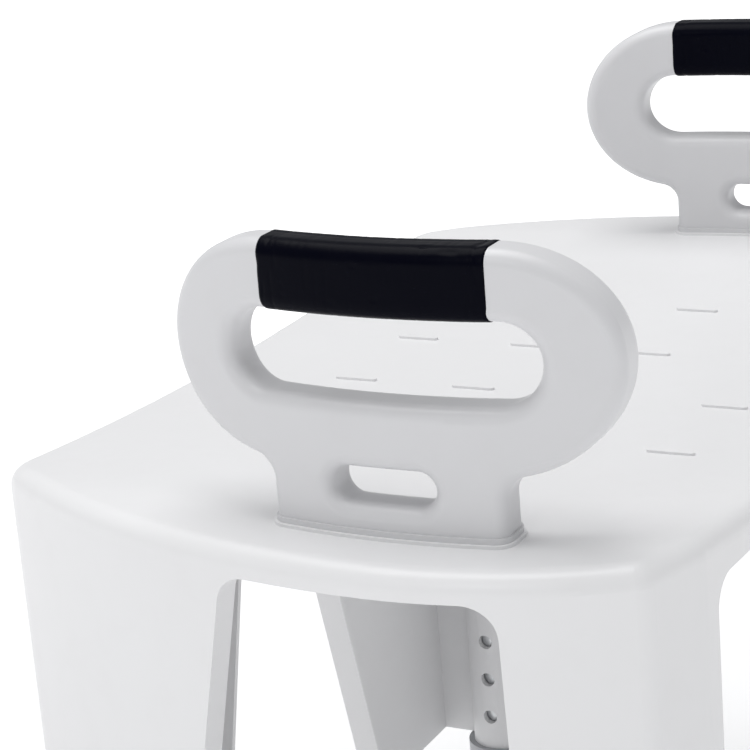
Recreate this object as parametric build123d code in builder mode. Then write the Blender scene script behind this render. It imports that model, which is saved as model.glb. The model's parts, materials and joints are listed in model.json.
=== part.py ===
from build123d import *
import os
from math import asin, cos, sin, sqrt

# Shower stool: moulded seat with corner legs, two loop handles, four height-adjusting leg tubes.
# Millimetres. +Z is up and the origin is on the floor, under the middle of the seat.
# The front faces -Y. Left is -X and right is +X, as seen from the front.

# ---- seat ----
SEAT_HEIGHT = 430.0          # top of the side rims, legs pushed right in
HALF_WIDTH = 283.0           # to the widest point of the bowed sides
HALF_DEPTH = 171.5
SIDE_RADIUS = (200.0, 375.0) # bow of each side in plan, in front of and behind the widest point
BOW_Y = -46.0                # where the sides are widest
CORNER_Y = -153.5            # front end of a side, where the corner facet starts
FACET_END = (217.0, -164.0)
REAR_CORNER_RADIUS = 24.0
FRONT_CORNER_RADIUS = 12.0
EDGE_ROLL = 9.0              # rounded top edge
DISH_DEPTH = 10.0
DISH_HALF = 228.0            # half width of the dished part
FOLD_RADIUS = 150.0          # soft fold where the rim turns into the dish
DECK = 5.0                   # thickness of the deck
WALL = 4.0                   # thickness of the skirt and corner legs
PANEL_BOTTOM = 110.0
OVERRUN = 10.0               # how far cutting shapes run past what they cut
NEAR = 0.5                   # slack when edges are picked by position

# ---- openings between the corner legs: height of the top, then y or x at the top and bottom ----
ARCH_TOP = SEAT_HEIGHT - 12.5
SIDE_ARCH_REAR = (22.0, 93.0)
SIDE_ARCH_FRONT = (-100.0, -108.0)
SIDE_ARCH_CORNER = 15.0
FRONT_ARCH_TOP = SEAT_HEIGHT - 22.0
FRONT_ARCH_HALF = 206.0
FRONT_ARCH_CORNER = 14.0
REAR_ARCH_TOP = SEAT_HEIGHT - 70.0
REAR_ARCH_HALF = (30.0, 100.0)
REAR_ARCH_CORNER = 18.0
EDGING = 3.0                 # return flange round each opening
EDGING_DEPTH = 15.0

# ---- grip ribs on the seat, stiffening ribs under it ----
TREAD_PITCH = (71.0, 64.0)
TREAD_COUNT = (4, 4)
TREAD_CENTRE_Y = -13.0
TREAD_SIZE = (22.5, 3.6)
TREAD_PROUD = 1.2
RIB = 3.0
RIB_BOTTOM = SEAT_HEIGHT - 34.0
RIB_HALF = (196.0, 150.0)
RIB_ROWS = (-140.0, -84.0, -28.0, 28.0, 84.0, 140.0)
RIB_COLUMNS = (-186.0, -124.0, -62.0, 0.0, 62.0, 124.0, 186.0)

# ---- handles ----
HANDLE_X = 242.0
HANDLE_Y = -41.5
HANDLE_BOW = 280.0           # plan radius of the handle's mid surface
HANDLE_THICK = 20.6
HANDLE_EDGE = 6.2
LOOP = (200.0, 93.2)
LOOP_STRAIGHT = 98.2         # the loop's ends are half ellipses beyond this length
LOOP_Z = SEAT_HEIGHT + 74.0
FINGER_HOLE = (135.6, 34.4)
STEM_WIDTH = 103.8
STEM_FILLET = 10.0
STEM_SLOT = (45.0, 15.0)
STEM_SLOT_Z = SEAT_HEIGHT + 21.0
PAD_HEIGHT = 1.4
PAD_MARGIN = 2.2
FLANGE_HEIGHT = 2.4
FLANGE_MARGIN = 0.9
FOOT_CORNER = 6.0
GRIP_LENGTH = 100.0
GRIP_SHIFT = 0.5             # towards the front of the loop's middle
GRIP_WALL = 1.0
SCREW_SPACING = 64.0
SCREW_RADIUS = 2.95
SCREW_CLEARANCE = 0.3
SCREW_HEAD = (5.5, 4.2)
SCREW_HEAD_EDGE = 1.2
SOCKET = (2.3, 2.4)
INSERT_RADIUS = 5.0
INSERT_LENGTH = 9.0
INSERT_TIP = 1.0             # left empty beyond the screw's end
WASHER = (9.0, 1.2)

# ---- legs ----
FRONT_LEG = (226.0, -124.0)
REAR_LEG = (200.0, 128.0)
TUBE_RADIUS = 14.0
TUBE_WALL = 1.8
TUBE_TOP = 392.0
SLEEVE_BORE = 14.5
SLEEVE_RADIUS = 18.5
SLEEVE_BOTTOM = 100.0
SLEEVE_TOP = SEAT_HEIGHT - 7.5
STOP_GAP = 0.5
PLUG_FLANGE = 2.0
PLUG_DEPTH = 12.0
PLUG_WALL = 2.0
COLLAR_RADIUS = 22.0
COLLAR_HEIGHT = 14.0
COLLAR_LIP = 5.0
COLLAR_BORE = 14.3
EXTEND_TRAVEL = 100.0
HOLE_PITCH = 25.0
BUTTON_Z = 230.0             # button height with the leg pushed right in
BUTTON_RADIUS = 4.0
BUTTON_HOLE = 4.4
BUTTON_REACH = 20.6
BUTTON_DOME = 2.4
STRIP = (9.0, 0.8)           # width and thickness of the spring strip
STRIP_GAP = 1.4              # from the strip's middle to the tube's wall
STRIP_HEIGHTS = (-9.0, 7.0, 42.0, 2.0)  # button end, first bend, top bend, free end
STRIP_TOP_BEND = 3.0         # how far the top bend lies past the tube's axis
STRIP_BEND = 2.0
FERRULE_HEIGHT = 42.0
FERRULE_SOLE = 22.0
FERRULE_NECK = 17.4
FERRULE_NECK_Z = 15.0
FERRULE_SKIRT = 5.0          # height of the straight edge of the sole
FERRULE_FLOOR = 9.0
FERRULE_FILLETS = (8.0, 2.0, 1.4)  # neck, skirt, mouth
SOLE_GROOVES = ((0.0, 8.0), (12.0, 16.0))  # inner and outer radius of each groove
GROOVE_DEPTH = 1.5
DISC = (13.8, 1.5)

BOW_CENTRE_X = HANDLE_X - HANDLE_BOW
DISH_ARCS = (DISH_HALF**2 + DISH_DEPTH**2) / (2 * DISH_DEPTH)  # radii of dish and fold together
HANDLE_BASE = SEAT_HEIGHT + PAD_HEIGHT
TUBE_BOTTOM = FERRULE_FLOOR + DISC[1]
SIDES = {"left": -1, "right": 1}
LEGS = {
    "front_left": (-FRONT_LEG[0], FRONT_LEG[1]),
    "front_right": FRONT_LEG,
    "rear_left": (-REAR_LEG[0], REAR_LEG[1]),
    "rear_right": REAR_LEG,
}

os.makedirs("parts", exist_ok=True)


def save(part, name):
    """Label a finished piece and write its STEP file."""
    part.label = name
    export_step(part, f"parts/{name}.step")


def side_x(y):
    """Distance from the middle plane to the bowed side at y."""
    bow = SIDE_RADIUS[0 if y < BOW_Y else 1]
    return HALF_WIDTH - bow + sqrt(bow**2 - (y - BOW_Y) ** 2)


def facet_y(x):
    """y of the corner facet at x."""
    slope = (CORNER_Y - FACET_END[1]) / (side_x(CORNER_Y) - FACET_END[0])
    return FACET_END[1] + slope * (x - FACET_END[0])


def dish_drop(x):
    """How far the seat's surface lies under the rims at x, inside the fold."""
    bend = DISH_ARCS - FOLD_RADIUS
    return DISH_DEPTH - (bend - sqrt(bend**2 - x**2))


def under_surface(shift):
    """Section, across the stool, of all that lies under the seat's surface moved down by shift."""
    top = SEAT_HEIGHT - shift
    edge = HALF_WIDTH + OVERRUN
    turn = asin(DISH_HALF / DISH_ARCS)
    bend = DISH_ARCS - FOLD_RADIUS
    join = (bend * sin(turn), top - DISH_DEPTH + bend * (1 - cos(turn)))
    fold = (
        DISH_HALF - FOLD_RADIUS * sin(turn / 2),
        top - FOLD_RADIUS * (1 - cos(turn / 2)),
    )
    with BuildSketch(Plane.XZ) as section:
        with BuildLine():
            Polyline((-DISH_HALF, top), (-edge, top), (-edge, 0), (edge, 0), (edge, top), (DISH_HALF, top))
            ThreePointArc((DISH_HALF, top), fold, join)
            ThreePointArc(join, (0, top - DISH_DEPTH), (-join[0], join[1]))
            ThreePointArc((-join[0], join[1]), (-fold[0], fold[1]), (-DISH_HALF, top))
        make_face()
    return section.sketch


def bowed_ring(thickness):
    """Plan of a wall that follows the right handle's bow."""
    with BuildSketch() as ring:
        with Locations((BOW_CENTRE_X, HANDLE_Y)):
            Circle(HANDLE_BOW + thickness / 2)
            Circle(HANDLE_BOW - thickness / 2, mode=Mode.SUBTRACT)
    return ring.sketch


def bowed_plate(margin, bottom, height):
    """Plate that follows the handle's bow and stands out from the stem by margin."""
    with BuildPart() as plate:
        with BuildSketch(Plane.XY.offset(bottom)):
            with Locations((HANDLE_X, HANDLE_Y)):
                Rectangle(HANDLE_THICK * 3, STEM_WIDTH + 2 * margin)
        extrude(amount=height)
        with BuildSketch(Plane.XY.offset(bottom)):
            add(bowed_ring(HANDLE_THICK + 2 * margin))
        extrude(amount=height, mode=Mode.INTERSECT)
        fillet(plate.edges().filter_by(Axis.Z), FOOT_CORNER + margin)
    return plate.part


def tapered_opening(bottom, top, height, corner):
    """Opening between two legs, as two (left, right) widths, with its two top corners rounded."""
    with BuildSketch() as opening:
        with BuildLine():
            Polyline(
                (bottom[0], PANEL_BOTTOM - OVERRUN),
                (top[0], height),
                (top[1], height),
                (bottom[1], PANEL_BOTTOM - OVERRUN),
                close=True,
            )
        make_face()
        fillet(opening.vertices().group_by(Axis.Y)[-1], corner)
    return opening.sketch


def edging_of(opening):
    """Band round an opening."""
    with BuildSketch() as band:
        add(opening)
        offset(amount=EDGING)
        add(opening, mode=Mode.SUBTRACT)
    return band.sketch


def screw_places(side):
    """The two screw positions of the handle on one side, on its bowed mid surface."""
    reach = SCREW_SPACING / 2
    x = BOW_CENTRE_X + sqrt(HANDLE_BOW**2 - reach**2)
    return [(side * x, HANDLE_Y - reach), (side * x, HANDLE_Y + reach)]


# ======== seat shell ========
rear_x = side_x(HALF_DEPTH)
corner_x = side_x(CORNER_Y)
mid_y = (BOW_Y + CORNER_Y) / 2

with BuildSketch() as outline:
    with BuildLine():
        Line((-rear_x, HALF_DEPTH), (rear_x, HALF_DEPTH))
        ThreePointArc((rear_x, HALF_DEPTH), (side_x(0), 0), (HALF_WIDTH, BOW_Y))
        ThreePointArc((HALF_WIDTH, BOW_Y), (side_x(mid_y), mid_y), (corner_x, CORNER_Y))
        Line((corner_x, CORNER_Y), FACET_END)
        ThreePointArc(FACET_END, (0, -HALF_DEPTH), (-FACET_END[0], FACET_END[1]))
        Line((-FACET_END[0], FACET_END[1]), (-corner_x, CORNER_Y))
        ThreePointArc((-corner_x, CORNER_Y), (-side_x(mid_y), mid_y), (-HALF_WIDTH, BOW_Y))
        ThreePointArc((-HALF_WIDTH, BOW_Y), (-side_x(0), 0), (-rear_x, HALF_DEPTH))
    make_face()
    fillet(outline.vertices().group_by(Axis.Y)[-1], REAR_CORNER_RADIUS)
    fillet(
        outline.vertices().filter_by_position(Axis.Y, -HALF_DEPTH, CORNER_Y + NEAR),
        FRONT_CORNER_RADIUS,
    )

with BuildSketch() as inside:
    add(outline.sketch)
    offset(amount=-WALL)

# The space under the deck, inside the skirt.
with BuildPart() as hollow:
    with BuildSketch():
        add(inside.sketch)
    extrude(amount=SEAT_HEIGHT)
    with BuildSketch(Plane.XZ):
        add(under_surface(DECK))
    extrude(amount=HALF_DEPTH + OVERRUN, both=True, mode=Mode.INTERSECT)

# Egg-crate ribs that stiffen the deck from below.
with BuildPart() as stiffeners:
    with BuildSketch(Plane.XY.offset(RIB_BOTTOM)):
        with Locations(*[(0, y) for y in RIB_ROWS]):
            Rectangle(2 * RIB_HALF[0], RIB)
        with Locations(*[(x, 0) for x in RIB_COLUMNS]):
            Rectangle(RIB, 2 * RIB_HALF[1])
    extrude(amount=SEAT_HEIGHT - RIB_BOTTOM)
    with BuildSketch(Plane.XZ):
        add(under_surface(DECK / 2))
    extrude(amount=HALF_DEPTH + OVERRUN, both=True, mode=Mode.INTERSECT)

# The seat as one solid form, before it is hollowed.
with BuildPart() as form:
    with BuildSketch(Plane.XY.offset(PANEL_BOTTOM)):
        add(outline.sketch)
    extrude(amount=SEAT_HEIGHT - PANEL_BOTTOM)
    with BuildSketch(Plane.XZ):
        add(under_surface(0))
    extrude(amount=HALF_DEPTH + OVERRUN, both=True, mode=Mode.INTERSECT)
    rim_edges = form.edges().filter_by_position(
        Axis.Z, SEAT_HEIGHT - DISH_DEPTH - NEAR, SEAT_HEIGHT + NEAR
    )
    surface_folds = rim_edges.filter_by(Axis.Y).filter_by(lambda e: e.length > HALF_DEPTH)
    fillet(rim_edges - surface_folds, EDGE_ROLL)

side_opening = tapered_opening(
    (SIDE_ARCH_FRONT[1], SIDE_ARCH_REAR[1]), (SIDE_ARCH_FRONT[0], SIDE_ARCH_REAR[0]),
    ARCH_TOP, SIDE_ARCH_CORNER,
)
front_opening = tapered_opening(
    (-FRONT_ARCH_HALF, FRONT_ARCH_HALF), (-FRONT_ARCH_HALF, FRONT_ARCH_HALF),
    FRONT_ARCH_TOP, FRONT_ARCH_CORNER,
)
rear_opening = tapered_opening(
    (-REAR_ARCH_HALF[1], REAR_ARCH_HALF[1]), (-REAR_ARCH_HALF[0], REAR_ARCH_HALF[0]),
    REAR_ARCH_TOP, REAR_ARCH_CORNER,
)

# Return flanges round the openings.
with BuildPart() as edging:
    with BuildSketch(Plane.YZ):
        add(edging_of(side_opening))
    extrude(amount=HALF_WIDTH + OVERRUN, both=True)
    with BuildSketch(Plane.XZ):
        add(edging_of(front_opening))
    extrude(amount=HALF_DEPTH + OVERRUN)
    with BuildSketch(Plane.XZ):
        add(edging_of(rear_opening))
    extrude(amount=-HALF_DEPTH - OVERRUN)
    add(form.part, mode=Mode.INTERSECT)
    with BuildSketch():
        add(outline.sketch)
        offset(amount=-EDGING_DEPTH)
    extrude(amount=SEAT_HEIGHT, mode=Mode.SUBTRACT)

with BuildPart() as seat_shell:
    add(form.part)
    add(hollow.part, mode=Mode.SUBTRACT)
    add(edging.part)
    add(stiffeners.part)

    # Sleeves that guide the leg tubes, tied to the skirt by webs.
    with BuildSketch(Plane.XY.offset(SLEEVE_BOTTOM)):
        with Locations(*LEGS.values()):
            Circle(SLEEVE_RADIUS)
    extrude(amount=SLEEVE_TOP - SLEEVE_BOTTOM)
    with BuildSketch(Plane.XY.offset(PANEL_BOTTOM)):
        for x, y in LEGS.values():
            side = 1 if x > 0 else -1
            end = 1 if y > 0 else -1
            reach_x = side_x(y) - WALL / 2 - abs(x)
            reach_y = abs(HALF_DEPTH if end > 0 else facet_y(abs(x))) - WALL / 2 - abs(y)
            with Locations((x + side * reach_x / 2, y)):
                Rectangle(reach_x, RIB)
            with Locations((x, y + end * reach_y / 2)):
                Rectangle(RIB, reach_y)
    extrude(amount=SLEEVE_TOP - PANEL_BOTTOM)
    with BuildSketch(Plane.XY.offset(SLEEVE_BOTTOM)):
        with Locations(*LEGS.values()):
            Circle(SLEEVE_BORE)
    extrude(amount=TUBE_TOP + PLUG_FLANGE + STOP_GAP - SLEEVE_BOTTOM, mode=Mode.SUBTRACT)

    # One hole for each height setting, on the side of the sleeve that faces the middle.
    for x, y in LEGS.values():
        inward = -1 if x > 0 else 1
        for step in range(round(EXTEND_TRAVEL / HOLE_PITCH) + 1):
            centre = (x + inward * SLEEVE_BORE / 2, y, BUTTON_Z - step * HOLE_PITCH)
            with BuildSketch(Plane(origin=centre, z_dir=(inward, 0, 0))):
                Circle(BUTTON_HOLE)
            extrude(amount=SLEEVE_RADIUS, mode=Mode.SUBTRACT)

    # Openings between the corner legs.
    for side in SIDES.values():
        with BuildSketch(Plane.YZ.offset(side * (HALF_WIDTH - 2 * EDGING_DEPTH))):
            add(side_opening)
        extrude(amount=side * (2 * EDGING_DEPTH + OVERRUN), mode=Mode.SUBTRACT)
    with BuildSketch(Plane.XZ.offset(HALF_DEPTH - EDGING_DEPTH - WALL)):
        add(front_opening)
    extrude(amount=EDGING_DEPTH + WALL + OVERRUN, mode=Mode.SUBTRACT)
    with BuildSketch(Plane.XZ.offset(EDGING_DEPTH + WALL - HALF_DEPTH)):
        add(rear_opening)
    extrude(amount=-EDGING_DEPTH - WALL - OVERRUN, mode=Mode.SUBTRACT)

    # Raised grip ribs on the sitting surface.
    for column in range(TREAD_COUNT[0]):
        tread_x = (column - (TREAD_COUNT[0] - 1) / 2) * TREAD_PITCH[0]
        tread_top = SEAT_HEIGHT - dish_drop(tread_x) + TREAD_PROUD
        with BuildSketch(Plane.XY.offset(tread_top)):
            with Locations((tread_x, TREAD_CENTRE_Y)):
                with GridLocations(0, TREAD_PITCH[1], 1, TREAD_COUNT[1]):
                    SlotOverall(*TREAD_SIZE, rotation=90)
        extrude(amount=-TREAD_PROUD - DECK / 2)

    # Pads under the handles, and their screw holes.
    pad = bowed_plate(PAD_MARGIN, SEAT_HEIGHT - DECK / 2, DECK / 2 + PAD_HEIGHT)
    add(pad)
    add(mirror(pad, about=Plane.YZ, mode=Mode.PRIVATE))
    with BuildSketch(Plane.XY.offset(HANDLE_BASE)):
        with Locations(*screw_places(-1), *screw_places(1)):
            Circle(SCREW_RADIUS + SCREW_CLEARANCE)
    extrude(amount=-PAD_HEIGHT - DECK - OVERRUN, mode=Mode.SUBTRACT)
save(seat_shell.part, "seat_shell")


# ======== handles ========
with BuildPart() as handle_body:
    with BuildSketch(Plane.YZ.offset(HANDLE_X - 2 * HANDLE_THICK)) as handle_face:
        loop_ends = [(HANDLE_Y + end * LOOP_STRAIGHT / 2, LOOP_Z) for end in (-1, 1)]
        with Locations((HANDLE_Y, LOOP_Z)):
            Rectangle(LOOP_STRAIGHT, LOOP[1])
        with Locations(*loop_ends):
            Ellipse((LOOP[0] - LOOP_STRAIGHT) / 2, LOOP[1] / 2)
        with Locations((HANDLE_Y, HANDLE_BASE)):
            Rectangle(STEM_WIDTH, LOOP[1] / 2, align=(Align.CENTER, Align.MIN))
        fillet(
            handle_face.vertices().filter_by_position(Axis.Y, HANDLE_BASE + NEAR, LOOP_Z - LOOP[1] / 4),
            STEM_FILLET,
        )
        with Locations((HANDLE_Y, LOOP_Z)):
            SlotOverall(*FINGER_HOLE, mode=Mode.SUBTRACT)
        with Locations((HANDLE_Y, STEM_SLOT_Z)):
            SlotOverall(*STEM_SLOT, mode=Mode.SUBTRACT)
    extrude(amount=4 * HANDLE_THICK)
    with BuildSketch(Plane.XY.offset(HANDLE_BASE)):
        add(bowed_ring(HANDLE_THICK))
    extrude(amount=LOOP_Z + LOOP[1] - HANDLE_BASE, mode=Mode.INTERSECT)
    broad_faces = handle_body.faces().sort_by(SortBy.AREA)[-2:]
    fillet(broad_faces.edges().filter_by(lambda e: e.center().Z > HANDLE_BASE + NEAR), HANDLE_EDGE)

with BuildPart() as right_handle:
    add(handle_body.part)
    add(bowed_plate(FLANGE_MARGIN, HANDLE_BASE, FLANGE_HEIGHT))
    with BuildSketch(Plane.XY.offset(HANDLE_BASE)):
        with Locations(*screw_places(1)):
            Circle(INSERT_RADIUS)
    extrude(amount=INSERT_LENGTH, mode=Mode.SUBTRACT)

with BuildPart() as right_grip:
    grip_bottom = LOOP_Z + FINGER_HOLE[1] / 2 - GRIP_WALL
    grip_top = LOOP_Z + LOOP[1] / 2 + GRIP_WALL
    with BuildSketch(Plane.XY.offset(grip_bottom)):
        with Locations((HANDLE_X, HANDLE_Y - GRIP_SHIFT)):
            Rectangle(4 * HANDLE_THICK, GRIP_LENGTH)
    extrude(amount=grip_top - grip_bottom)
    with BuildSketch(Plane.XY.offset(grip_bottom)):
        add(bowed_ring(HANDLE_THICK + 2 * GRIP_WALL))
    extrude(amount=grip_top - grip_bottom, mode=Mode.INTERSECT)
    bowed_faces = right_grip.faces().filter_by(GeomType.CYLINDER)
    long_edges = bowed_faces.edges().filter_by(lambda e: e.length > GRIP_LENGTH / 2)
    fillet(long_edges, HANDLE_EDGE + GRIP_WALL)
    add(handle_body.part, mode=Mode.SUBTRACT)

for side_name, side in SIDES.items():
    pieces = {"handle": right_handle.part, "handle_grip": right_grip.part}
    for piece_name, piece in pieces.items():
        placed = piece if side > 0 else mirror(piece, about=Plane.YZ)
        save(placed, f"{piece_name}_{side_name}")

    with BuildPart() as inserts:
        with BuildSketch(Plane.XY.offset(HANDLE_BASE)):
            with Locations(*screw_places(side)):
                Circle(INSERT_RADIUS)
                Circle(SCREW_RADIUS, mode=Mode.SUBTRACT)
        extrude(amount=INSERT_LENGTH)
    save(inserts.part, f"handle_inserts_{side_name}")

    washer_top = SEAT_HEIGHT - DECK
    with BuildPart() as washers:
        with BuildSketch(Plane.XY.offset(washer_top)):
            with Locations(*screw_places(side)):
                Circle(WASHER[0])
                Circle(SCREW_RADIUS + SCREW_CLEARANCE, mode=Mode.SUBTRACT)
        extrude(amount=-WASHER[1])
    save(washers.part, f"handle_washers_{side_name}")

    head_top = washer_top - WASHER[1]
    with BuildPart() as screws:
        with BuildSketch(Plane.XY.offset(head_top)):
            with Locations(*screw_places(side)):
                Circle(SCREW_HEAD[0])
        extrude(amount=-SCREW_HEAD[1])
        fillet(screws.edges().group_by(Axis.Z)[0], SCREW_HEAD_EDGE)
        with BuildSketch(Plane.XY.offset(head_top - SCREW_HEAD[1])):
            with Locations(*screw_places(side)):
                RegularPolygon(SOCKET[0], 6)
        extrude(amount=SOCKET[1], mode=Mode.SUBTRACT)
        with BuildSketch(Plane.XY.offset(head_top)):
            with Locations(*screw_places(side)):
                Circle(SCREW_RADIUS)
        extrude(amount=HANDLE_BASE + INSERT_LENGTH - INSERT_TIP - head_top)
    save(screws.part, f"handle_screws_{side_name}")


# ======== legs ========
def leg_tube(x, y, inward):
    """Aluminium tube with one cross hole for the snap button."""
    with BuildPart() as tube:
        with BuildSketch(Plane.XY.offset(TUBE_BOTTOM)):
            with Locations((x, y)):
                Circle(TUBE_RADIUS)
                Circle(TUBE_RADIUS - TUBE_WALL, mode=Mode.SUBTRACT)
        extrude(amount=TUBE_TOP - TUBE_BOTTOM)
        with BuildSketch(Plane(origin=(x, y, BUTTON_Z), z_dir=(inward, 0, 0))):
            Circle(BUTTON_HOLE)
        extrude(amount=TUBE_RADIUS + OVERRUN, mode=Mode.SUBTRACT)
    return tube.part


def snap_clip(x, y, inward):
    """Bent spring strip inside the tube, with a domed button through the tube and sleeve."""
    depth = TUBE_RADIUS - TUBE_WALL - STRIP_GAP
    button_end, first_bend, top_bend, free_end = STRIP_HEIGHTS
    with BuildPart() as clip:
        button_plane = Plane(origin=(x + inward * depth, y, BUTTON_Z), z_dir=(inward, 0, 0))
        with BuildSketch(button_plane):
            Circle(BUTTON_RADIUS)
        extrude(amount=BUTTON_REACH - depth)
        tip = clip.faces().sort_by(Axis.X)[-1 if inward > 0 else 0]
        fillet(tip.edges(), BUTTON_DOME)
        with BuildSketch(Plane(origin=(x, y, BUTTON_Z), x_dir=(inward, 0, 0), z_dir=(0, -inward, 0))):
            with BuildLine():
                FilletPolyline(
                    (depth, button_end),
                    (depth, first_bend),
                    (-STRIP_TOP_BEND, top_bend),
                    (-depth, free_end),
                    radius=STRIP_BEND,
                )
            trace(line_width=STRIP[1])
        extrude(amount=STRIP[0] / 2, both=True)
    return clip.part


def ferrule(x, y):
    """Bell-shaped rubber foot with a blind socket and a grooved sole."""
    neck, skirt, mouth = FERRULE_FILLETS
    with BuildPart() as foot:
        with BuildSketch(Plane.XZ) as half:
            with BuildLine():
                Polyline(
                    (0, 0),
                    (FERRULE_SOLE, 0),
                    (FERRULE_SOLE, FERRULE_SKIRT),
                    (FERRULE_NECK, FERRULE_NECK_Z),
                    (FERRULE_NECK, FERRULE_HEIGHT),
                    (TUBE_RADIUS, FERRULE_HEIGHT),
                    (TUBE_RADIUS, FERRULE_FLOOR),
                    (0, FERRULE_FLOOR),
                    close=True,
                )
            make_face()
            fillet(half.vertices().filter_by(lambda v: v.Y == FERRULE_NECK_Z), neck)
            fillet(half.vertices().filter_by(lambda v: v.Y == FERRULE_SKIRT), skirt)
        revolve(axis=Axis.Z)
        fillet(foot.edges().group_by(Axis.Z)[-1].sort_by(SortBy.LENGTH)[-1], mouth)
        with BuildSketch():
            for inner, outer in SOLE_GROOVES:
                Circle(outer)
                if inner > 0:
                    Circle(inner, mode=Mode.SUBTRACT)
        extrude(amount=GROOVE_DEPTH, mode=Mode.SUBTRACT)
    return Pos(x, y, 0) * foot.part


def round_piece(x, y, bottom, rings):
    """Stack of (outer radius, inner radius, height) rings, from bottom upwards."""
    with BuildPart() as stack:
        level = bottom
        for outer_radius, inner_radius, height in rings:
            with BuildSketch(Plane.XY.offset(level)):
                with Locations((x, y)):
                    Circle(outer_radius)
                    if inner_radius > 0:
                        Circle(inner_radius, mode=Mode.SUBTRACT)
            extrude(amount=height)
            level += height
    return stack.part


plug_radius = TUBE_RADIUS - TUBE_WALL
for leg_name, (x, y) in LEGS.items():
    inward = -1 if x > 0 else 1
    save(leg_tube(x, y, inward), f"leg_tube_{leg_name}")
    save(snap_clip(x, y, inward), f"snap_clip_{leg_name}")
    save(ferrule(x, y), f"foot_{leg_name}")
    save(round_piece(x, y, FERRULE_FLOOR, [(DISC[0], 0, DISC[1])]), f"foot_disc_{leg_name}")
    plug = [(plug_radius, plug_radius - PLUG_WALL, PLUG_DEPTH), (TUBE_RADIUS, 0, PLUG_FLANGE)]
    save(round_piece(x, y, TUBE_TOP - PLUG_DEPTH, plug), f"tube_plug_{leg_name}")
    collar = [
        (COLLAR_RADIUS, COLLAR_BORE, COLLAR_LIP),
        (COLLAR_RADIUS, SLEEVE_RADIUS, COLLAR_HEIGHT - COLLAR_LIP),
    ]
    save(round_piece(x, y, SLEEVE_BOTTOM - COLLAR_LIP, collar), f"leg_collar_{leg_name}")
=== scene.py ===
import json
from math import cos, pi, radians, sin

import bpy
from mathutils import Matrix, Vector, noise


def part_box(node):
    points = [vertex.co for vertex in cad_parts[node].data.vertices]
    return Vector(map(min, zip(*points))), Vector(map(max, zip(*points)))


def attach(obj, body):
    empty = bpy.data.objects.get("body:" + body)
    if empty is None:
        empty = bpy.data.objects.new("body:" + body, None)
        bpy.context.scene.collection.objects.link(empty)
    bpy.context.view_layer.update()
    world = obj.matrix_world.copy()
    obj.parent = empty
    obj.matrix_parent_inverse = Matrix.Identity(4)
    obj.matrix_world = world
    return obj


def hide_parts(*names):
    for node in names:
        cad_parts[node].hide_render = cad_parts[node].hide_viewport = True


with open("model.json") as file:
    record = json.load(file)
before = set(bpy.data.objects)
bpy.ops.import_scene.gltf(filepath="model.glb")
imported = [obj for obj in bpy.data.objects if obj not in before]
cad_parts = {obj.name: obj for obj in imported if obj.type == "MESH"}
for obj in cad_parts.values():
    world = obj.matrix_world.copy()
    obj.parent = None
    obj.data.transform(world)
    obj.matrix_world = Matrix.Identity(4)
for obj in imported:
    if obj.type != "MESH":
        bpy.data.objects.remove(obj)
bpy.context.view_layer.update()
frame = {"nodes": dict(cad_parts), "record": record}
record = frame["record"]
nodes = frame["nodes"]
scene = bpy.context.scene

# ======== sizes, in metres ========
SIDES = {"left": -1, "right": 1}
LEGS = ("front_left", "front_right", "rear_left", "rear_right")

# ---- rubber grips ----
GRIP_THICK = 0.0226
GRIP_BOW = 0.280             # radius of the handle's bow in plan
GRIP_CORNER = 0.0072
GRIP_INSET = 0.0004          # gap between the sleeve's surface and the box it replaces
GRIP_STATIONS = 150          # steps along the sleeve
GRIP_SECTION = 96            # points round the sleeve
GRIP_END_ROLL = 0.0016
GRIP_END_TUCK = 0.6          # how far the end roll turns in, as a part of its radius
GRIP_END_RIM = 0.86          # size of the sleeve's inner rim as a part of its end ring
SEAM_PLACE = -0.002          # moulding line along the top, from the bar's middle
SEAM_HALF_WIDTH = 0.0006
SEAM_DEPTH = 0.006           # as a part of the distance from the bar's middle

# Unevenness: scale of the noise, noise value where a dip starts, and depth.
SWELL_SCALE = 45
SWELL_DEPTH = 0.00018
WRINKLE_SCALE = (90, 420, 90)
WRINKLE_START = 0.12
WRINKLE_DEPTH = 0.0009
WRINKLE_IN_MIDDLE = 0.15
WRINKLE_FADE = 9             # one over the part of the sleeve at each end that wrinkles most
NICK_SCALE = (300, 120, 300)
NICK_OFFSET = (5, 9, 2)
NICK_START = 0.52
NICK_DEPTH = 0.0016
CREASE_LIMIT = 0.00042       # keeps the bar inside the sleeve covered

# ---- rubber feet: outlines as (outward, downward) steps ----
FOOT_SEGMENTS = 72
FOOT_NECK = 0.79             # neck radius as a part of the base radius
FOOT_MOUTH = ((0.0003, 0.0060), (0.0003, 0.0008), (0.0009, 0.0001))
FOOT_BEAD = (
    (-0.0010, 0.0001), (-0.0003, 0.0008), (0.0, 0.0022),
    (0.0, 0.0042), (-0.0003, 0.0052), (-0.0008, 0.0057),
)
FOOT_WAIST = 0.0006          # how far the ringed part lies inside the bead
FOOT_RINGS = 3
FOOT_RING_TOP = 0.0085
FOOT_RING_PITCH = 0.0038
FOOT_RING = ((0.0, 0.0), (-0.0007, 0.0005), (-0.0007, 0.0012), (0.0, 0.0017))
FOOT_FLARE = (0.0165, 0.0050)  # heights where the flare starts and ends
FOOT_FLARE_STEPS = 9
FOOT_FLARE_POWER = 2.2
FOOT_SHARP = 50              # degrees; sharper bends are shaded as edges
# Skirt and sole as (radius, height), the skirt's radius counted from the base.
FOOT_SKIRT = ((0.0, 0.0016), (-0.0004, 0.0005), (-0.0014, 0.0))
FOOT_SOLE = (
    (0.0160, 0.0), (0.0157, 0.0013), (0.0123, 0.0013), (0.0120, 0.0),
    (0.0080, 0.0), (0.0077, 0.0013), (0.0004, 0.0013),
)

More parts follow.
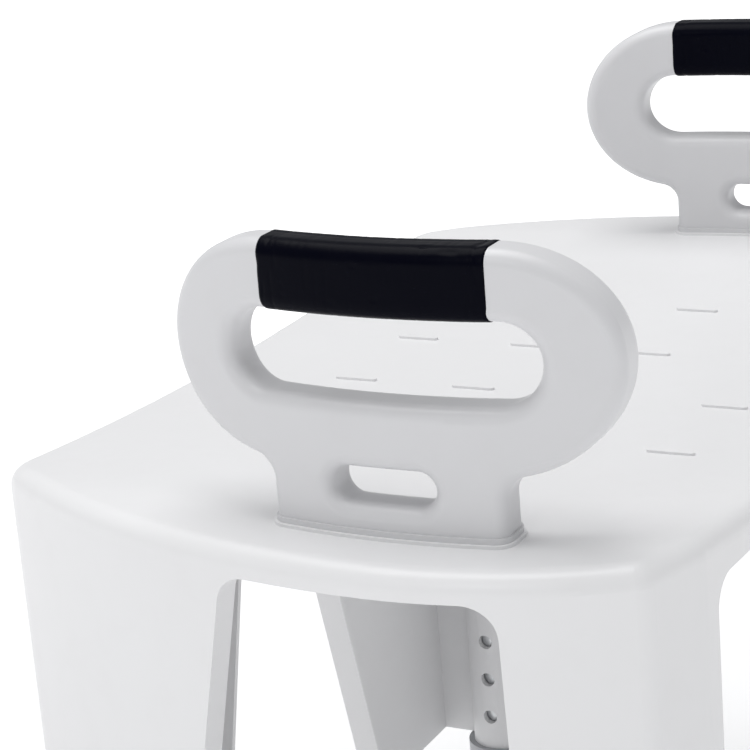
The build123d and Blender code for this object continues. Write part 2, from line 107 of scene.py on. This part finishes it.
# ---- floor, light, camera ----
FLOOR_SIZE = 60
FLOOR_GLOW = (0.16, 0.8)     # under the stool and away from it
FLOOR_GLOW_REACH = (0.45, 1.7)
WORLD_COLOUR = (0.97, 0.98, 1.0, 1)
WORLD_STRENGTH = 0.4
SENSOR_WIDTH = 36.0          # millimetres, like the lens
CAMERA_LENS = 117.8
CAMERA_PLACE = (-1.060, -0.4765, 0.783)
CAMERA_YAW = 28.18           # degrees
CAMERA_PITCH = 17.2
CAMERA_ROLL = -4.69


# ======== materials ========
def new_material(name):
    """A material with a principled shader as it comes; returns the material, its tree and the shader."""
    material = bpy.data.materials.new(name)
    material.use_nodes = True
    tree = material.node_tree
    return material, tree, tree.nodes["Principled BSDF"]


def object_space(tree, stretch=(1, 1, 1)):
    """Object coordinates in metres, stretched."""
    coordinates = tree.nodes.new("ShaderNodeTexCoord")
    mapping = tree.nodes.new("ShaderNodeMapping")
    mapping.inputs["Scale"].default_value = stretch
    tree.links.new(coordinates.outputs["Object"], mapping.inputs["Vector"])
    return mapping.outputs["Vector"]


def noise_value(tree, vector, scale, detail, rough=0.5):
    """Noise from 0 to 1."""
    texture = tree.nodes.new("ShaderNodeTexNoise")
    texture.inputs["Scale"].default_value = scale
    texture.inputs["Detail"].default_value = detail
    texture.inputs["Roughness"].default_value = rough
    tree.links.new(vector, texture.inputs["Vector"])
    return texture.outputs["Fac"]


def spread(tree, value, low, high, start=0.3, stop=0.7):
    """Value between start and stop mapped to low and high."""
    node = tree.nodes.new("ShaderNodeMapRange")
    node.inputs["From Min"].default_value = start
    node.inputs["From Max"].default_value = stop
    node.inputs["To Min"].default_value = low
    node.inputs["To Max"].default_value = high
    tree.links.new(value, node.inputs["Value"])
    return node.outputs["Result"]


def plus(tree, first, second):
    """The sum of two values."""
    node = tree.nodes.new("ShaderNodeMath")
    node.operation = "ADD"
    tree.links.new(first, node.inputs[0])
    tree.links.new(second, node.inputs[1])
    return node.outputs["Value"]


def scaled(tree, value, factor):
    """A value times a number."""
    node = tree.nodes.new("ShaderNodeMath")
    node.operation = "MULTIPLY"
    tree.links.new(value, node.inputs[0])
    node.inputs[1].default_value = factor
    return node.outputs["Value"]


def mixed(tree, factor, first, second):
    """Colour between first and second."""
    node = tree.nodes.new("ShaderNodeMix")
    node.data_type = "RGBA"
    node.inputs["A"].default_value = (*first, 1)
    node.inputs["B"].default_value = (*second, 1)
    tree.links.new(factor, node.inputs["Factor"])
    return node.outputs["Result"]


def bumps(tree, shader, heights):
    """Chain of bump nodes from (height, distance in metres, strength)."""
    normal = None
    for height, distance, strength in heights:
        bump = tree.nodes.new("ShaderNodeBump")
        bump.inputs["Distance"].default_value = distance
        bump.inputs["Strength"].default_value = strength
        tree.links.new(height, bump.inputs["Height"])
        if normal is not None:
            tree.links.new(normal, bump.inputs["Normal"])
        normal = bump.outputs["Normal"]
    tree.links.new(normal, shader.inputs["Normal"])


def edge_mask(tree, start, stop):
    """1 on convex edges."""
    geometry = tree.nodes.new("ShaderNodeNewGeometry")
    return spread(tree, geometry.outputs["Pointiness"], 0.0, 1.0, start, stop)


def white_plastic(name, colour, worn, roughness, peel, scuff):
    """Injection-moulded gloss plastic: fine orange peel, faint flow variation, hairline scuffs."""
    material, tree, shader = new_material(name)
    space = object_space(tree)
    flow = noise_value(tree, space, scale=9.0, detail=4.0)
    dust = noise_value(tree, space, scale=55.0, detail=5.0, rough=0.65)
    fine = noise_value(tree, space, scale=450.0, detail=2.0)
    scratches = noise_value(tree, object_space(tree, (60, 900, 300)), scale=1.0, detail=3.0, rough=0.7)
    aged = plus(
        tree,
        spread(tree, flow, low=0.0, high=0.5),
        spread(tree, dust, low=0.0, high=0.4, start=0.5, stop=0.8),
    )
    tree.links.new(mixed(tree, aged, colour, worn), shader.inputs["Base Color"])
    rough = plus(
        tree,
        spread(tree, dust, low=roughness - 0.04, high=roughness + 0.05),
        spread(tree, scratches, low=0.0, high=scuff, start=0.62, stop=0.75),
    )
    tree.links.new(rough, shader.inputs["Roughness"])
    shader.inputs["IOR"].default_value = 1.5
    bumps(tree, shader, [(fine, 0.000003, peel), (flow, 0.0001, 0.2)])
    return material


def rubber(name, colour, dusty, roughness, grain, dust_amount, ior):
    """Dark rubber: fine grain, dusty high spots, slightly uneven sheen."""
    material, tree, shader = new_material(name)
    space = object_space(tree)
    patches = noise_value(tree, space, scale=28.0, detail=5.0, rough=0.6)
    specks = noise_value(tree, space, scale=420.0, detail=3.0, rough=0.6)
    fine = noise_value(tree, space, scale=1500.0, detail=2.0)
    creases = noise_value(tree, object_space(tree, (180, 40, 180)), scale=1.0, detail=4.0, rough=0.6)
    dust = plus(
        tree,
        spread(tree, patches, low=0.0, high=dust_amount, start=0.45, stop=0.75),
        spread(tree, specks, low=0.0, high=0.6 * dust_amount, start=0.6, stop=0.8),
    )
    tree.links.new(mixed(tree, dust, colour, dusty), shader.inputs["Base Color"])
    rough = spread(tree, patches, low=roughness - 0.06, high=roughness + 0.08)
    tree.links.new(rough, shader.inputs["Roughness"])
    shader.inputs["IOR"].default_value = ior
    shader.inputs["Sheen Weight"].default_value = 0.004
    shader.inputs["Sheen Roughness"].default_value = 0.4
    shader.inputs["Sheen Tint"].default_value = (0.7, 0.75, 1.0, 1)
    bumps(tree, shader, [(fine, 0.00001, grain), (specks, 0.00003, 0.3), (creases, 0.0003, 0.25)])
    return material


def metal(name, colour, dull, roughness, stretch, tarnish):
    """Brushed or drawn metal with streaks along one axis and dull patches."""
    material, tree, shader = new_material(name)
    streaks = noise_value(tree, object_space(tree, stretch), scale=1.0, detail=4.0, rough=0.65)
    patches = noise_value(tree, object_space(tree), scale=30.0, detail=5.0, rough=0.6)
    aged = plus(
        tree,
        spread(tree, streaks, low=0.0, high=0.4),
        spread(tree, patches, low=0.0, high=tarnish, start=0.5, stop=0.75),
    )
    tree.links.new(mixed(tree, aged, colour, dull), shader.inputs["Base Color"])
    rough = plus(
        tree,
        spread(tree, streaks, low=roughness - 0.06, high=roughness + 0.08),
        spread(tree, patches, low=0.0, high=0.12, start=0.5, stop=0.75),
    )
    tree.links.new(rough, shader.inputs["Roughness"])
    shader.inputs["Metallic"].default_value = 1.0
    bumps(tree, shader, [(streaks, 0.000006, 0.4), (patches, 0.00005, 0.1)])
    return material


def textured_plastic(name, colour, worn, roughness):
    """Spark-eroded grey plastic with polished edges."""
    material, tree, shader = new_material(name)
    space = object_space(tree)
    patches = noise_value(tree, space, scale=40.0, detail=5.0, rough=0.6)
    spark = noise_value(tree, space, scale=1100.0, detail=4.0, rough=0.7)
    edges = scaled(tree, edge_mask(tree, start=0.52, stop=0.6), 0.4)
    aged = plus(tree, spread(tree, patches, low=0.0, high=0.5), edges)
    tree.links.new(mixed(tree, aged, colour, worn), shader.inputs["Base Color"])
    rough = spread(tree, spark, low=roughness - 0.08, high=roughness + 0.1)
    tree.links.new(rough, shader.inputs["Roughness"])
    bumps(tree, shader, [(spark, 0.00003, 0.5), (patches, 0.00008, 0.1)])
    return material


MATERIALS = {
    "moulded_plastic": white_plastic(
        "moulded_white", colour=(0.84, 0.84, 0.846), worn=(0.815, 0.81, 0.815),
        roughness=0.33, peel=0.7, scuff=0.08,
    ),
    # The handle's white is set darker than the seat's: partly the handle's own greyer tone, partly painted
    # shade for its upright faces.
    "handle_plastic": white_plastic(
        "handle_white", colour=(0.68, 0.68, 0.693), worn=(0.655, 0.65, 0.66),
        roughness=0.34, peel=0.8, scuff=0.08,
    ),
    "grip_rubber": rubber(
        "grip_rubber", colour=(0.0009, 0.0011, 0.0045), dusty=(0.0035, 0.004, 0.008),
        roughness=0.33, grain=0.25, dust_amount=0.3, ior=1.12,
    ),
    "foot_rubber": rubber(
        "foot_rubber", colour=(0.028, 0.029, 0.033), dusty=(0.09, 0.088, 0.085),
        roughness=0.62, grain=0.45, dust_amount=0.6, ior=1.45,
    ),
    "leg_aluminium": metal(
        "leg_aluminium", colour=(0.74, 0.75, 0.76), dull=(0.60, 0.61, 0.63),
        roughness=0.30, stretch=(700, 700, 9), tarnish=0.5,
    ),
    "stainless_fixings": metal(
        "stainless", colour=(0.62, 0.62, 0.63), dull=(0.45, 0.45, 0.46),
        roughness=0.28, stretch=(900, 60, 900), tarnish=0.5,
    ),
    "spring_steel": metal(
        "spring_steel", colour=(0.58, 0.58, 0.60), dull=(0.40, 0.38, 0.36),
        roughness=0.22, stretch=(600, 600, 600), tarnish=0.6,
    ),
    "brass_inserts": metal(
        "turned_brass", colour=(0.72, 0.53, 0.25), dull=(0.50, 0.36, 0.17),
        roughness=0.30, stretch=(500, 500, 60), tarnish=0.6,
    ),
    "collar_plastic": textured_plastic(
        "collar_grey", colour=(0.42, 0.43, 0.45), worn=(0.52, 0.53, 0.55), roughness=0.48,
    ),
}

slot_of = {part["node"]: part["material_slot"] for part in record["subparts"]}
for node_name, node in nodes.items():
    node.data.materials.clear()
    node.data.materials.append(MATERIALS[slot_of[node_name]])


# ======== shared by the rubber pieces ========
def skin(row_count, row_length, flipped):
    """Four-sided faces between closed rows of points that follow each other."""
    faces = []
    for row in range(row_count - 1):
        for column in range(row_length):
            following = (column + 1) % row_length
            corners = [row * row_length + column, row * row_length + following]
            corners += [corner + row_length for corner in reversed(corners)]
            faces.append(corners[::-1] if flipped else corners)
    return faces


def add_mesh(name, vertices, faces, material):
    """A smooth-shaded mesh object in the scene."""
    mesh = bpy.data.meshes.new(name)
    mesh.from_pydata(vertices, [], faces)
    mesh.update()
    mesh.polygons.foreach_set("use_smooth", [True] * len(mesh.polygons))
    mesh.materials.append(material)
    piece = bpy.data.objects.new(name, mesh)
    scene.collection.objects.link(piece)
    return piece


# ======== rubber grips ========
def rounded_section(half_width, half_height, corner, count):
    """Points evenly spaced round an upright rectangle with rounded corners."""
    arc = corner * pi / 2
    outline = 4 * (half_width + half_height - 2 * corner) + 4 * arc
    points = []
    for index in range(count):
        travel = index * outline / count
        for quarter in range(4):
            reach, rise = (half_height, half_width) if quarter % 2 else (half_width, half_height)
            straight = 2 * (rise - corner)
            if travel < straight + arc:
                break
            travel -= straight + arc
        bend = max(0.0, travel - straight) / corner
        x = reach - corner + corner * cos(bend)
        z = corner - rise + min(travel, straight) + corner * sin(bend)
        turn = quarter * pi / 2
        points.append((x * cos(turn) - z * sin(turn), x * sin(turn) + z * cos(turn)))
    return points


def dip(place, scale, start, offset=(0, 0, 0)):
    """How far the noise at a stretched place rises above start."""
    stretched = Vector([value * factor for value, factor in zip(place, scale)])
    return max(0.0, noise.noise(stretched + Vector(offset)) - start)


def crease_depth(place, along):
    """How far the rubber lies below its outer surface: a slow swell, nicks, and wrinkles near the ends."""
    swell = noise.noise(place * SWELL_SCALE) * 0.5 + 0.5
    near_end = max(0.0, 1 - min(along, 1 - along) * WRINKLE_FADE)
    wrinkle = dip(place, WRINKLE_SCALE, WRINKLE_START) * (WRINKLE_IN_MIDDLE + near_end)
    nick = dip(place, NICK_SCALE, NICK_START, NICK_OFFSET)
    return min(CREASE_LIMIT, SWELL_DEPTH * swell + WRINKLE_DEPTH * wrinkle + NICK_DEPTH * nick)


def end_tuck(gap):
    """How far the rolled end turns in at a distance from the sleeve's end."""
    roll = GRIP_END_ROLL - min(gap, GRIP_END_ROLL)
    return GRIP_END_TUCK * (GRIP_END_ROLL - (GRIP_END_ROLL**2 - roll**2) ** 0.5)


def grip_rings(low, high, middle_y, side):
    """Closed rows of points along the sleeve, from its front end to its rear end."""
    bow_centre = max(high.x, -low.x) - GRIP_BOW - GRIP_THICK / 2
    middle_z = (low.z + high.z) / 2
    half_height = (high.z - low.z) / 2 - GRIP_INSET
    section = rounded_section(GRIP_THICK / 2 - GRIP_INSET, half_height, GRIP_CORNER, GRIP_SECTION)
    rings = []
    for station in range(GRIP_STATIONS + 1):
        along = station / GRIP_STATIONS
        y = low.y + GRIP_INSET + along * (high.y - low.y - 2 * GRIP_INSET)
        tuck = end_tuck(min(y - low.y, high.y - y))
        ring = []
        for across, height in section:
            depth = tuck + crease_depth(Vector((across + side, y, height)), along)
            shrink = 1 - depth / Vector((across, height)).length
            if height > 0 and abs(across - SEAM_PLACE) < SEAM_HALF_WIDTH:
                shrink -= SEAM_DEPTH
            reach = GRIP_BOW + across * shrink
            x = bow_centre + (reach**2 - (y - middle_y) ** 2) ** 0.5
            ring.append(Vector((side * x, y, middle_z + height * shrink)))
        rings.append(ring)
    return rings


def inner_rim(ring):
    """The same ring drawn in towards its middle."""
    centre = sum(ring, Vector()) / len(ring)
    return [centre + (point - centre) * GRIP_END_RIM for point in ring]


def build_grip(side_name):
    """Rubber sleeve that bends with the handle, with rolled ends and a moulding line along the top."""
    low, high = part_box(f"handle_grip_{side_name}")
    handle_low, handle_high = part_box(f"handle_{side_name}")
    middle_y = (handle_low.y + handle_high.y) / 2
    rings = grip_rings(low, high, middle_y, SIDES[side_name])
    rings = [inner_rim(rings[0]), *rings, inner_rim(rings[-1])]
    vertices = [point for ring in rings for point in ring]
    faces = skin(len(rings), GRIP_SECTION, flipped=side_name == "left")
    grip = add_mesh(f"rubber_grip_{side_name}", vertices, faces, MATERIALS["grip_rubber"])
    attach(grip, "seat")
    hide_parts(f"handle_grip_{side_name}")


for side_name in SIDES:
    build_grip(side_name)


# ======== rubber feet ========
def foot_profile(base, bore, low, top):
    """Radius and height from inside the mouth, down the outside and across the ringed sole."""
    neck = base * FOOT_NECK
    waist = neck - FOOT_WAIST
    profile = [(bore + out, top - down) for out, down in FOOT_MOUTH]
    profile += [(neck + out, top - down) for out, down in FOOT_BEAD]
    for ring in range(FOOT_RINGS):
        ring_top = top - FOOT_RING_TOP - ring * FOOT_RING_PITCH
        profile += [(waist + out, ring_top - down) for out, down in FOOT_RING]
    for step in range(FOOT_FLARE_STEPS + 1):
        along = step / FOOT_FLARE_STEPS
        height = FOOT_FLARE[0] + (FOOT_FLARE[1] - FOOT_FLARE[0]) * along
        profile.append((waist + (base - waist) * along**FOOT_FLARE_POWER, low + height))
    profile += [(base + out, low + height) for out, height in FOOT_SKIRT]
    profile += [(radius, low + height) for radius, height in FOOT_SOLE]
    return profile


def build_foot(leg_name):
    """Turned rubber foot with a beaded mouth, ringed neck, flared skirt and grooved sole."""
    node_name = f"foot_{leg_name}"
    low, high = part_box(node_name)
    tube_low, tube_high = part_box(f"leg_tube_{leg_name}")
    middle = (low + high) / 2
    profile = foot_profile((high.x - low.x) / 2, (tube_high.x - tube_low.x) / 2, low.z, high.z)
    angles = [segment * 2 * pi / FOOT_SEGMENTS for segment in range(FOOT_SEGMENTS)]
    vertices = [
        (middle.x + radius * cos(angle), middle.y + radius * sin(angle), height)
        for radius, height in profile
        for angle in angles
    ]
    faces = skin(len(profile), FOOT_SEGMENTS, flipped=True)
    faces.append(list(reversed(range(len(vertices) - FOOT_SEGMENTS, len(vertices)))))
    foot = add_mesh(f"rubber_{node_name}", vertices, faces, MATERIALS[slot_of[node_name]])
    foot.data.set_sharp_from_angle(angle=radians(FOOT_SHARP))
    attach(foot, f"leg_{leg_name}")
    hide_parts(node_name)


for leg_name in LEGS:
    build_foot(leg_name)


# ======== floor, light, camera ========
def stage_floor():
    """Large pale floor that glows softly away from the stool."""
    bpy.ops.mesh.primitive_plane_add(size=FLOOR_SIZE, location=(0, 0, 0))
    floor = bpy.context.object
    floor.name = "floor"
    material, tree, shader = new_material("floor_white")
    space = object_space(tree)
    patches = noise_value(tree, space, scale=0.7, detail=3.0)
    grain = noise_value(tree, space, scale=260.0, detail=3.0)
    colour = mixed(tree, spread(tree, patches, 0.0, 1.0), (0.93, 0.93, 0.935), (0.91, 0.91, 0.915))
    tree.links.new(colour, shader.inputs["Base Color"])
    tree.links.new(spread(tree, grain, low=0.55, high=0.65), shader.inputs["Roughness"])
    bumps(tree, shader, [(grain, 0.0001, 0.05)])
    distance = tree.nodes.new("ShaderNodeVectorMath")
    distance.operation = "LENGTH"
    tree.links.new(space, distance.inputs[0])
    glow = spread(tree, distance.outputs["Value"], *FLOOR_GLOW, *FLOOR_GLOW_REACH)
    shader.inputs["Emission Color"].default_value = (1, 1, 1, 1)
    tree.links.new(glow, shader.inputs["Emission Strength"])
    floor.data.materials.append(material)


def light_surroundings():
    """Even pale light from all round."""
    world = bpy.data.worlds.new("studio")
    scene.world = world
    world.use_nodes = True
    background = world.node_tree.nodes["Background"]
    background.inputs["Color"].default_value = WORLD_COLOUR
    background.inputs["Strength"].default_value = WORLD_STRENGTH


def area_light(name, place, target, size, power):
    """Square softbox at place, turned to target."""
    data = bpy.data.lights.new(name, "AREA")
    data.size = size
    data.energy = power
    light = bpy.data.objects.new(name, data)
    light.location = place
    light.rotation_euler = (Vector(target) - Vector(place)).to_track_quat("-Z", "Y").to_euler()
    scene.collection.objects.link(light)


def place_camera():
    """Camera above the left side, looking across the seat, slightly rolled."""
    yaw, pitch, roll = (radians(angle) for angle in (CAMERA_YAW, CAMERA_PITCH, CAMERA_ROLL))
    forward = Vector((cos(yaw) * cos(pitch), sin(yaw) * cos(pitch), -sin(pitch)))
    level = Vector((sin(yaw), -cos(yaw), 0))
    above = level.cross(forward)
    right = cos(roll) * level + sin(roll) * above
    up = cos(roll) * above - sin(roll) * level
    data = bpy.data.cameras.new("camera")
    data.sensor_width = SENSOR_WIDTH
    data.lens = CAMERA_LENS
    camera = bpy.data.objects.new("camera", data)
    scene.collection.objects.link(camera)
    turn = Matrix((right, up, -forward)).transposed().to_4x4()
    camera.matrix_world = Matrix.Translation(CAMERA_PLACE) @ turn
    scene.camera = camera


stage_floor()
light_surroundings()
area_light("overhead", place=(-0.1, 0.4, 2.7), target=(0, 0, 0.4), size=2.0, power=44)
area_light("key", place=(-2.3, -0.1, 1.9), target=(0, 0, 0.45), size=0.8, power=4)
scene.view_settings.view_transform = "Standard"
place_camera()
